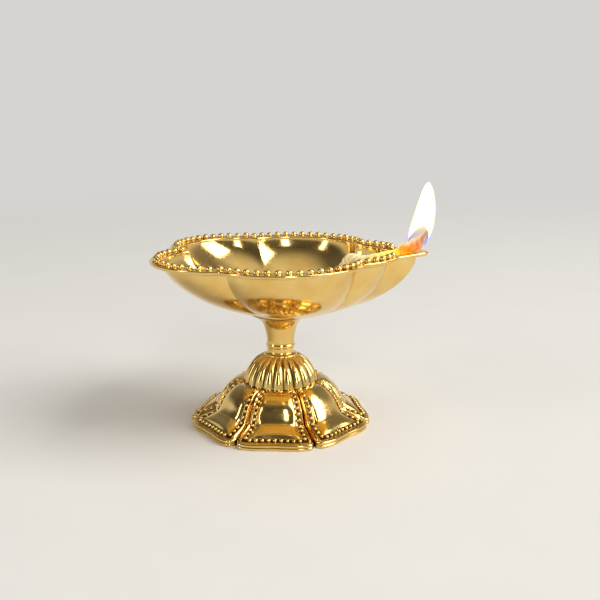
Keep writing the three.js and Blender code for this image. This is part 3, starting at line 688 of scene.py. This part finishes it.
def make_wick_fibres(material):
    """Loose cotton fibres: thin three-sided tapers that leave the roll and curve away from it."""
    count, steps, sides = 170, 7, 3
    line, share, length = wick_line(420)
    along, side, over = frames_along(line)
    random = np.random.default_rng(33)
    start = random.integers(8, 345, count)
    turn = random.uniform(0, 2 * np.pi, count)
    out = side[start] * np.cos(turn)[:, None] + over[start] * np.sin(turn)[:, None]
    ahead = along[start] * random.choice([-1, 1], count)[:, None]
    around = np.cross(along[start], out) * random.uniform(-1, 1, count)[:, None]
    reach = random.uniform(0.7, 2.0, count)[:, None, None]
    t = np.linspace(0, 1, steps)[None, :, None]
    base = line[start][:, None] + out[:, None] * WICK_RADIUS * 0.8
    path = base + reach * (out[:, None] * 0.42 * t**0.8 + ahead[:, None] * t + around[:, None] * 0.6 * t**2)
    thick = 0.035 * (1 - 0.7 * t)
    corner = np.arange(sides) * 2 * np.pi / sides
    across = np.cross(ahead, out)
    ring = out[:, None, None] * np.cos(corner)[:, None] + across[:, None, None] * np.sin(corner)[:, None]
    grid = path[:, :, None] + ring * thick[..., None]
    fibre_points, quads, triangles = closed_grid(grid[0])
    size = len(fibre_points)
    points = np.concatenate([grid.reshape(count, -1, 3), grid[:, :1].mean(2), grid[:, -1:].mean(2)], 1)
    step = np.arange(count)[:, None, None] * size
    parts = [(points.reshape(-1, 3), (quads + step).reshape(-1, 4), (triangles + step).reshape(-1, 3))]
    values = {"along": np.repeat(share[start], size), "strand": np.ones(count * size),
              "upward": np.full(count * size, 0.5)}
    piece = add_mesh("loose_fibres", parts, material, values, sharp_degrees=180)
    return dress(piece, "burning_wick", "cotton")


# Flame outline: share of its height, and half-width as a share of the widest. Its ends close in a small ring
FLAME_OUTLINE = ((0, 0.92), (0.06, 0.96), (0.14, 0.99), (0.24, 1.0), (0.34, 0.98), (0.45, 0.93), (0.56, 0.85),
                 (0.67, 0.74), (0.77, 0.61), (0.86, 0.46), (0.93, 0.31), (0.975, 0.17), (1, 0.06))
SMALLEST_RING = 0.001
DARK_ZONE_TOP, DARK_ZONE_WIDTH = 0.36, 0.97
# Where the arch lies on the ramps of the flame's density
ARCH_ON_RAMP = 0.4


def flame_layer(name, width, low, high, material):
    """One shell of the flame: its outline times a width, between two shares of its height, on a leaning line.

    Its attributes are its share of the flame's height, and the height over an arch that spans the dark zone
    round the wick, along the spout's line.
    """
    share, half = np.asarray(FLAME_OUTLINE, float).T
    t = np.sin(np.linspace(-0.5, 0.5, 64) * np.pi) / 2 + 0.5
    inside = np.sqrt(np.clip(1 - np.abs(2 * t - 1) ** 14, SMALLEST_RING, 1))
    height = (low + (high - low) * t)[:, None]
    radius = FLAME_RADIUS * width * np.interp(height, share, half) * inside[:, None]
    turn = np.linspace(0, 2 * np.pi, 64, endpoint=False)
    x = FLAME_BASE[0] + FLAME_LEAN * (1 - (1 - height) ** 2) + radius * np.cos(turn)
    z = np.broadcast_to(FLAME_BASE[1] + FLAME_HEIGHT * height, x.shape)
    grid = np.stack([x, radius * np.sin(turn), z], -1)
    across = np.clip(np.cos(turn) / DARK_ZONE_WIDTH, -1, 1)
    over_arch = height - DARK_ZONE_TOP * np.sqrt(1 - across**2)
    over_arch = np.concatenate([over_arch.reshape(-1), [low - DARK_ZONE_TOP, high]])
    share_up = np.concatenate([np.repeat(height, len(turn)), [low, high]])
    piece = add_mesh(name, [closed_grid(grid)], material, {"over_arch": over_arch, "share_up": share_up},
                     sharp_degrees=180)
    return dress(piece, "burning_wick", "fire")


# Materials

def add_node(tree, kind, values=None, **settings):
    """A shader node with its settings, and with plain values on the inputs named."""
    node = tree.nodes.new(kind)
    for key, value in settings.items():
        setattr(node, key, value)
    for key, value in (values or {}).items():
        node.inputs[key].default_value = value
    return node


def start_material(name, values):
    """A material with its Principled shader's constants set on the sockets."""
    material = bpy.data.materials.new(name)
    material.use_nodes = True
    shader = material.node_tree.nodes["Principled BSDF"]
    for key, value in values.items():
        shader.inputs[key].default_value = value
    return material, material.node_tree, shader


def add_ramp(tree, factor, stops):
    """A colour ramp on a factor, from (place, colour) stops."""
    ramp = tree.nodes.new("ShaderNodeValToRGB")
    elements = ramp.color_ramp.elements
    while len(elements) < len(stops):
        elements.new(0.5)
    for element, (place_on_ramp, colour) in zip(elements, stops):
        element.position = place_on_ramp
        element.color = (*colour, 1) if len(colour) == 3 else colour
    tree.links.new(factor, ramp.inputs["Fac"])
    return ramp.outputs["Color"]


def add_noise(tree, per_metre, detail, roughness=0.5):
    """Noise on Object coordinates: per_metre is one over the size of its features."""
    place_node = tree.nodes.new("ShaderNodeTexCoord")
    values = {"Scale": per_metre, "Detail": detail, "Roughness": roughness}
    noise = add_node(tree, "ShaderNodeTexNoise", values)
    tree.links.new(place_node.outputs["Object"], noise.inputs["Vector"])
    return noise.outputs["Fac"]


def mix_colours(tree, factor, low, high):
    """Colour between two others. Each is a socket or a plain colour."""
    mix = add_node(tree, "ShaderNodeMix", data_type="RGBA")
    for socket, value in ((mix.inputs["Factor"], factor), (mix.inputs[6], low), (mix.inputs[7], high)):
        if isinstance(value, bpy.types.NodeSocket):
            tree.links.new(value, socket)
        else:
            socket.default_value = (*value, 1) if isinstance(value, tuple) else value
    return mix.outputs[2]


def multiplied(tree, colour, shade):
    """The product of two colour sockets."""
    mix = add_node(tree, "ShaderNodeMix", {"Factor": 1.0}, data_type="RGBA", blend_type="MULTIPLY")
    tree.links.new(colour, mix.inputs[6])
    tree.links.new(shade, mix.inputs[7])
    return mix.outputs[2]


def add_math(tree, operation, *values):
    """One math node on sockets or plain numbers, clamped to 0 to 1."""
    maths = add_node(tree, "ShaderNodeMath", operation=operation, use_clamp=True)
    for socket, value in zip(maths.inputs, values):
        if isinstance(value, bpy.types.NodeSocket):
            tree.links.new(value, socket)
        else:
            socket.default_value = value
    return maths.outputs["Value"]


BRASS = (0.88, 0.645, 0.24)
WARM_BRASS = (0.80, 0.51, 0.145)
# Dark brown of patina, and of painted shade, in the brass's recesses
PATINA_AND_SHADE = (0.075, 0.042, 0.014)


def brass_material(name, colour, gloss, patina_and_shade_depth):
    """Cast brass: warm and pale patches, a hand-polished shine, fine scratches, and dark patina with painted
    shade in its recesses.
    """
    material, tree, shader = start_material(name, {"Metallic": 1.0})
    patina_and_shade = add_node(tree, "ShaderNodeAttribute", attribute_name="patina_and_shade").outputs["Fac"]
    patches = add_noise(tree, 130, 3)
    specks = add_noise(tree, 900, 4, 0.65)
    hand = add_ramp(tree, patches, ((0.3, (0, 0, 0)), (0.7, (1, 1, 1))))
    metal = mix_colours(tree, hand, colour, WARM_BRASS)
    edge = add_math(tree, "MULTIPLY_ADD", specks, 0.3, -0.15)
    # Darkens the colour in recesses, under the flange and inside the foot: partly patina, partly painted
    # shade
    patina_and_shade_amount = add_math(tree, "MULTIPLY", add_math(tree, "ADD", patina_and_shade, edge), patina_and_shade_depth)
    patina_and_shade_mask = add_ramp(tree, patina_and_shade_amount, ((0.22, (0, 0, 0)), (0.85, (1, 1, 1))))
    tree.links.new(mix_colours(tree, patina_and_shade_mask, metal, PATINA_AND_SHADE), shader.inputs["Base Color"])
    shine = add_ramp(tree, specks, ((0.35, (gloss,) * 3), (0.75, (gloss + 0.1,) * 3)))
    tree.links.new(mix_colours(tree, patina_and_shade_mask, shine, (0.5, 0.5, 0.5)), shader.inputs["Roughness"])
    swell = add_node(tree, "ShaderNodeBump", {"Strength": 0.35, "Distance": 0.00035})
    tree.links.new(add_noise(tree, 95, 1), swell.inputs["Height"])
    scratch = add_node(tree, "ShaderNodeBump", {"Strength": 0.12, "Distance": 0.00004})
    tree.links.new(add_noise(tree, 4200, 2), scratch.inputs["Height"])
    tree.links.new(swell.outputs["Normal"], scratch.inputs["Normal"])
    tree.links.new(scratch.outputs["Normal"], shader.inputs["Normal"])
    return material


def oil_material():
    """Clear golden lamp oil, a little deeper in colour in slow swirls."""
    material, tree, shader = start_material(
        "golden_oil", {"Roughness": 0.02, "IOR": 1.47, "Transmission Weight": 0.82})
    colour = mix_colours(tree, add_noise(tree, 60, 2), (0.98, 0.78, 0.28), (0.93, 0.66, 0.16))
    tree.links.new(colour, shader.inputs["Base Color"])
    return material


def cotton_material():
    """Cotton: cream and oil-soaked at the tail, lit yellow near the lip, then char. Its emission is painted
    light, the flame's warm glow on it: paler on its top side near the lip, and orange at the flame like an
    ember. Painted shade darkens the grooves between its strands.
    """
    material, tree, shader = start_material("rolled_cotton", {"Roughness": 0.85, "Sheen Weight": 0.25})
    along = add_node(tree, "ShaderNodeAttribute", attribute_name="along").outputs["Fac"]
    fibre = add_noise(tree, 1800, 5, 0.7)
    body = add_ramp(tree, along, (
        (0.0, (0.70, 0.54, 0.24)), (0.20, (0.88, 0.76, 0.46)), (0.40, (0.96, 0.89, 0.64)),
        (0.68, (0.90, 0.76, 0.28)), (0.79, (0.55, 0.20, 0.03)), (0.90, (0.36, 0.17, 0.06)),
        (0.96, (0.20, 0.10, 0.04)), (1.0, (0.04, 0.025, 0.015))))
    # Painted shade: the grooves between strands, together with a fibre noise, darken both the colour and the
    # emission
    strand = add_node(tree, "ShaderNodeAttribute", attribute_name="strand").outputs["Fac"]
    lit = add_math(tree, "MULTIPLY_ADD", strand, 0.7, 0.3)
    relief = add_math(tree, "MULTIPLY", fibre, lit)
    shade = add_ramp(tree, relief, ((0.08, (0.5, 0.46, 0.38)), (0.45, (1, 1, 1))))
    tree.links.new(multiplied(tree, body, shade), shader.inputs["Base Color"])
    # Painted light: emission standing for the flame's warm light along the cotton, strongest and orange where
    # it meets the flame
    painted_flame_light = add_ramp(tree, along, (
        (0.05, (0.10, 0.07, 0.02)), (0.30, (0.34, 0.25, 0.09)), (0.48, (0.50, 0.38, 0.10)),
        (0.60, (0.90, 0.68, 0.08)), (0.68, (1.0, 0.80, 0.03)), (0.75, (1.0, 0.66, 0.015)),
        (0.80, (0.95, 0.26, 0.006)), (0.87, (0.90, 0.20, 0.004)), (0.91, (0.62, 0.22, 0.03)),
        (0.95, (0.5, 0.25, 0.09)), (1.0, (0.25, 0.12, 0.04))))
    # Painted light on the roll's top side near the flame, paler than its underside
    upward = add_node(tree, "ShaderNodeAttribute", attribute_name="upward").outputs["Fac"]
    painted_top_light = add_ramp(tree, along, (
        (0.72, (1.0, 0.85, 0.3)), (0.82, (1.0, 0.72, 0.34)), (0.93, (0.9, 0.55, 0.25)),
        (1.0, (0.35, 0.17, 0.06))))
    on_top = add_ramp(tree, upward, ((0.6, (0, 0, 0)), (0.9, (1, 1, 1))))
    near_end = add_ramp(tree, along, ((0.7, (0, 0, 0)), (0.8, (1, 1, 1))))
    painted_light = mix_colours(tree, multiplied(tree, on_top, near_end), painted_flame_light, painted_top_light)
    tree.links.new(multiplied(tree, painted_light, shade), shader.inputs["Emission Color"])
    shader.inputs["Emission Strength"].default_value = 1.0
    bump = add_node(tree, "ShaderNodeBump", {"Strength": 0.6, "Distance": 0.00012})
    tree.links.new(fibre, bump.inputs["Height"])
    tree.links.new(bump.outputs["Normal"], shader.inputs["Normal"])
    return material


def grey(value):
    return (value, value, value)


def flame_material(name, colours, densities, strength):
    """Burning gas: its colour follows the share of its height, its density the height over the dark zone."""
    values = {"Base Color": (0, 0, 0, 1), "Roughness": 1.0, "Specular IOR Level": 0.0}
    material, tree, shader = start_material(name, {**values, "Emission Strength": strength})
    share_up = add_node(tree, "ShaderNodeAttribute", attribute_name="share_up").outputs["Fac"]
    over_arch = add_node(tree, "ShaderNodeAttribute", attribute_name="over_arch").outputs["Fac"]
    uneven = add_math(tree, "MULTIPLY_ADD", add_noise(tree, 250, 2), 0.06, ARCH_ON_RAMP - 0.03)
    tree.links.new(add_ramp(tree, share_up, colours), shader.inputs["Emission Color"])
    ragged_arch = add_math(tree, "ADD", over_arch, uneven)
    tree.links.new(add_ramp(tree, ragged_arch, densities), shader.inputs["Alpha"])
    return material


# Studio

WALL_TONE = (0.665, 0.655, 0.635)


def add_camera():
    data = bpy.data.cameras.new("camera")
    data.lens = CAMERA_LENS
    data.sensor_width = CAMERA_SENSOR
    data.clip_start = 0.005
    camera = bpy.data.objects.new("camera", data)
    bpy.context.scene.collection.objects.link(camera)
    camera.location = place(CAMERA_PLACE)
    camera.rotation_mode = "QUATERNION"
    camera.rotation_quaternion = Vector(CAMERA_FORWARD).to_track_quat("-Z", "Y")
    bpy.context.scene.camera = camera


def add_floor():
    """Pale paper that fades, a few lamp lengths away, into the tone of the studio's walls at eye level."""
    mesh = bpy.data.meshes.new("floor")
    half = 12.0
    corners = [(-half, -half, 0), (half, -half, 0), (half, half, 0), (-half, half, 0)]
    mesh.from_pydata(corners, [], [(0, 1, 2, 3)])
    floor = bpy.data.objects.new("floor", mesh)
    bpy.context.scene.collection.objects.link(floor)
    material, tree, shader = start_material("floor_paper", {"Roughness": 0.6, "Specular IOR Level": 0.2})
    paper = mix_colours(tree, add_noise(tree, 30, 4), (0.80, 0.795, 0.785), (0.84, 0.835, 0.825))
    tree.links.new(paper, shader.inputs["Base Color"])
    coordinates = tree.nodes.new("ShaderNodeTexCoord")
    distance = tree.nodes.new("ShaderNodeVectorMath")
    distance.operation = "LENGTH"
    tree.links.new(coordinates.outputs["Object"], distance.inputs[0])
    fade = add_node(tree, "ShaderNodeMapRange", {"From Min": 0.12, "From Max": 0.9},
                    interpolation_type="SMOOTHSTEP")
    tree.links.new(distance.outputs["Value"], fade.inputs["Value"])
    backdrop = add_node(tree, "ShaderNodeEmission", {"Color": (*WALL_TONE, 1)})
    blend = tree.nodes.new("ShaderNodeMixShader")
    tree.links.new(fade.outputs["Result"], blend.inputs["Fac"])
    tree.links.new(shader.outputs["BSDF"], blend.inputs[1])
    tree.links.new(backdrop.outputs["Emission"], blend.inputs[2])
    tree.links.new(blend.outputs["Shader"], tree.nodes["Material Output"].inputs["Surface"])
    floor.data.materials.append(material)


def aim(light, place_mm):
    """Puts a light at a place and points it at the lamp's middle."""
    bpy.context.scene.collection.objects.link(light)
    light.location = place(place_mm)
    light.rotation_mode = "QUATERNION"
    light.rotation_quaternion = (Vector(place((0, 0, 35))) - light.location).to_track_quat("-Z", "Y")


def add_softbox(name, place_mm, size_mm, power, colour):
    data = bpy.data.lights.new(name, "AREA")
    data.shape = "RECTANGLE"
    data.size, data.size_y = (side * MM for side in size_mm)
    data.energy = power
    data.color = colour
    aim(bpy.data.objects.new(name, data), place_mm)


def add_world():
    """Studio walls: pale at eye level, darker above, most on the left and in front, and lit from overhead."""
    world = bpy.data.worlds.new("studio")
    bpy.context.scene.world = world
    world.use_nodes = True
    tree = world.node_tree
    direction = tree.nodes.new("ShaderNodeTexCoord")
    split = tree.nodes.new("ShaderNodeSeparateXYZ")
    tree.links.new(direction.outputs["Generated"], split.inputs["Vector"])
    walls = add_ramp(tree, split.outputs["Z"], (
        (0.0, WALL_TONE), (0.2, WALL_TONE), (0.42, (0.30, 0.285, 0.26)), (0.75, (0.20, 0.185, 0.16)),
        (0.86, (0.42, 0.39, 0.34)), (0.97, (0.95, 0.90, 0.80))))
    side = add_node(tree, "ShaderNodeMapRange", {"From Min": -0.9, "From Max": -0.5, "To Min": 0.35})
    tree.links.new(split.outputs["X"], side.inputs["Value"])
    front = add_node(tree, "ShaderNodeMapRange", {"From Min": -0.6, "From Max": 0.3, "To Min": 0.4})
    tree.links.new(split.outputs["Y"], front.inputs["Value"])
    shade = add_math(tree, "MULTIPLY", side.outputs["Result"], front.outputs["Result"])
    eye_level = add_node(tree, "ShaderNodeMapRange", {"From Min": 0.42, "From Max": 0.2})
    tree.links.new(split.outputs["Z"], eye_level.inputs["Value"])
    background = tree.nodes["Background"]
    tree.links.new(walls, background.inputs["Color"])
    strength = add_math(tree, "MAXIMUM", shade, eye_level.outputs["Result"])
    tree.links.new(strength, background.inputs["Strength"])


add_camera()
add_floor()
add_world()
add_softbox("window", (1900, -200, 1600), (1500, 2100), 58.0, (1.0, 0.98, 0.94))
add_softbox("front_card", (600, -2000, 1250), (360, 1200), 12.0, (1.0, 0.98, 0.95))
add_softbox("left_card", (-1700, -1000, 1000), (280, 1200), 6.0, (1.0, 0.98, 0.95))

polished = brass_material("polished_cast_brass", BRASS, 0.10, 1.0)
turned_brass = brass_material("turned_brass", BRASS, 0.10, 0.8)
screw_brass = brass_material("screw_brass", (0.74, 0.52, 0.19), 0.24, 0.7)
cotton = cotton_material()
mantle = flame_material(
    "flame_mantle",
    ((0.0, (0.25, 0.25, 1.0)), (0.2, (0.45, 0.36, 0.95)), (0.32, (1.0, 0.72, 0.30)), (0.5, (1.0, 0.66, 0.12)),
     (1.0, (1.0, 0.62, 0.08))),
    ((0.0, grey(0.02)), (0.33, grey(0.04)), (0.42, grey(0.4)), (1.0, grey(0.45))), 1.6)
core = flame_material(
    "flame_core",
    ((0.0, (0.05, 0.05, 0.1)), (0.14, (0.09, 0.085, 0.12)), (0.24, (0.45, 0.36, 0.2)),
     (0.34, (1.0, 0.86, 0.5)), (1.0, (1.0, 0.86, 0.52))),
    ((0.0, grey(0.0)), (0.37, grey(0.02)), (0.42, grey(0.5)), (0.47, grey(1.0))), 10.0)
smoke = flame_material(
    "flame_dark_zone",
    ((0.0, (0.30, 0.20, 0.24)), (0.2, (0.34, 0.20, 0.16)), (0.27, (0.70, 0.46, 0.08)),
     (0.35, (1.0, 0.78, 0.12))),
    ((0.0, grey(0.1)), (0.2, grey(0.12)), (0.36, grey(0.22)), (0.45, grey(0.6))), 0.8)

make_foot(polished)
make_foot_beads(polished)
make_stud(screw_brass)
make_stem(turned_brass)
make_bowl(polished)
make_rim_beads(polished)
make_oil(oil_material())
make_wick(cotton)
make_wick_fibres(cotton)
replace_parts(flame_layer("flame_mantle", 1.0, 0.0, 1.0, mantle), "flame")
flame_layer("flame_core", 0.91, 0.01, 0.98, core)
flame_layer("flame_dark_zone", 0.8, 0.02, 0.36, smoke)

bpy.context.scene.view_settings.view_transform = "Standard"
